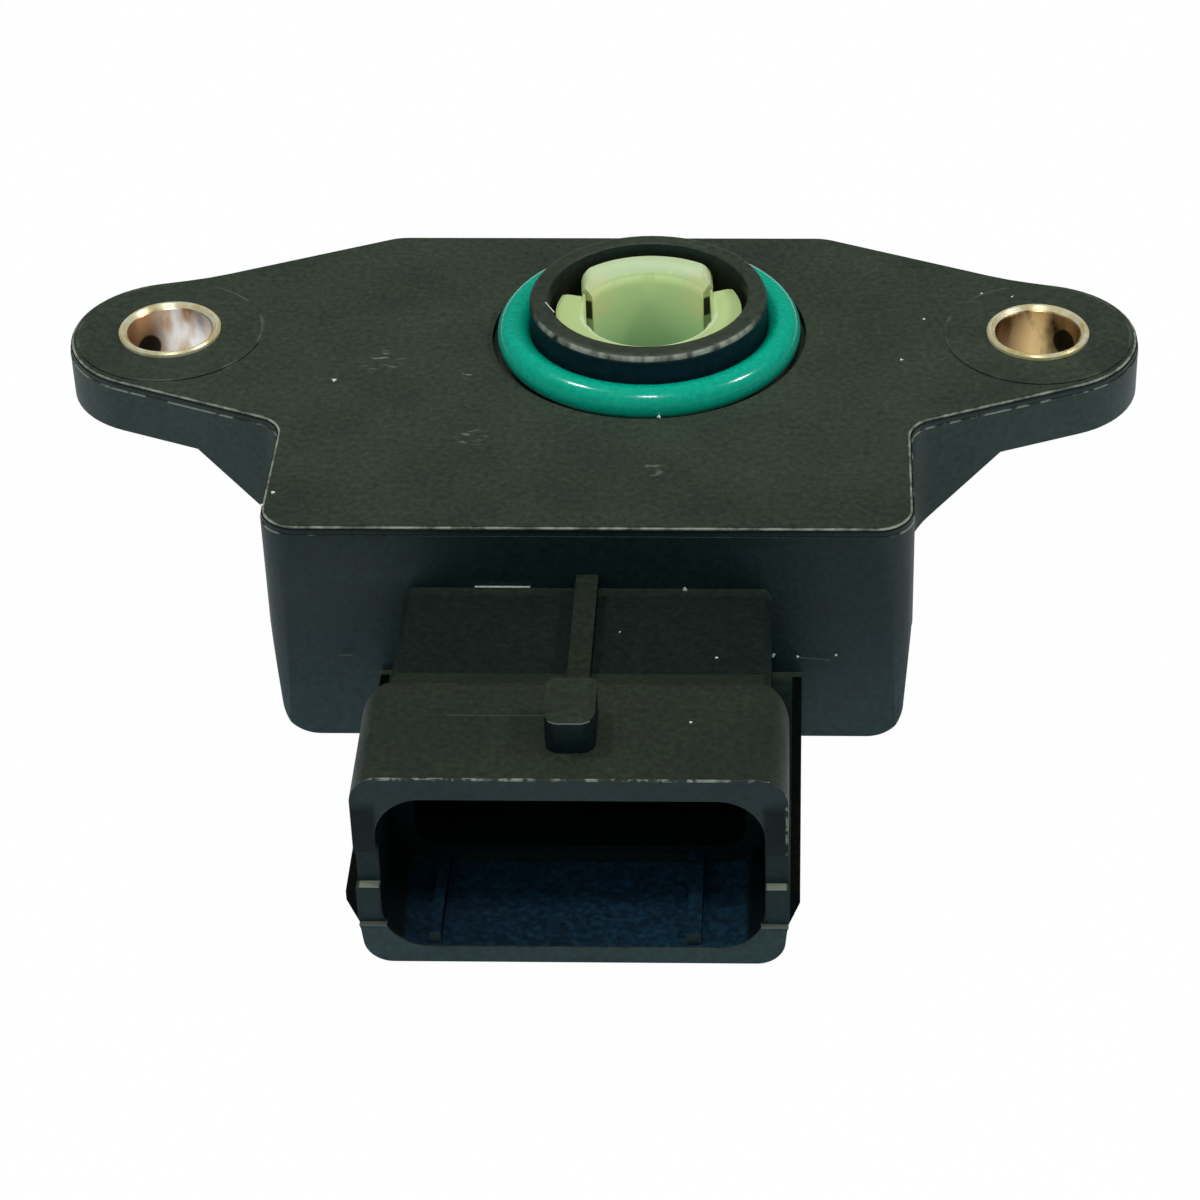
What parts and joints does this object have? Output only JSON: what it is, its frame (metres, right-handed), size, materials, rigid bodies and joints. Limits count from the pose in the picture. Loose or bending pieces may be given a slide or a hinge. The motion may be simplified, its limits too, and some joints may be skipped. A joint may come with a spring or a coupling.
{
  "type": "throttle position sensor",
  "caption": "Flat moulded rotary sensor with two bushed ears, a collar with a seal ring, a turning D-bore driver and a bladed plug socket.",
  "frame": {"origin": "on the collar axis, at the mounting face", "axes": "+Z out of the mounting face along the collar, +X along the line of the two holes, the connector points along -Y"},
  "size_m": [0.0664, 0.0535, 0.0182],
  "materials": {
    "black_plastic": "black glass-filled moulding, satin",
    "brass": "turned brass",
    "teal_rubber": "teal rubber, slightly glossy",
    "pale_plastic": "pale yellow-green moulding",
    "spring_alloy": "bright spring alloy sheet",
    "board": "green laminate",
    "carbon_ink": "printed carbon, dull",
    "silver_ink": "printed silver conductor",
    "tinned_metal": "tinned copper alloy",
    "solder": "solder",
    "spring_steel": "spring steel",
    "sealant": "cured sealing compound"
  },
  "bodies": {
    "sensor_body": {"housing": "black_plastic", "rear_cover": "black_plastic", "bush_left": "brass", "bush_right": "brass", "o_ring": "teal_rubber", "track_board": "board", "resistor_track": "carbon_ink", "collector_track": "carbon_ink", "trace_supply": "silver_ink", "trace_signal": "silver_ink", "trace_ground": "silver_ink", "terminal_supply": "tinned_metal", "terminal_signal": "tinned_metal", "terminal_ground": "tinned_metal", "solder_supply": "solder", "solder_signal": "solder", "solder_ground": "solder", "wave_washer": "spring_steel", "terminal_seal": "sealant"},
    "rotor_body": {"rotor": "pale_plastic", "wiper": "spring_alloy"}
  },
  "joints": [
    {"name": "rotor_turn", "type": "hinge", "parent": "sensor_body", "child": "rotor_body", "pos_m": [0, 0, 0], "axis": [0, 0, 1], "range_deg": [0, 96]}
  ]
}
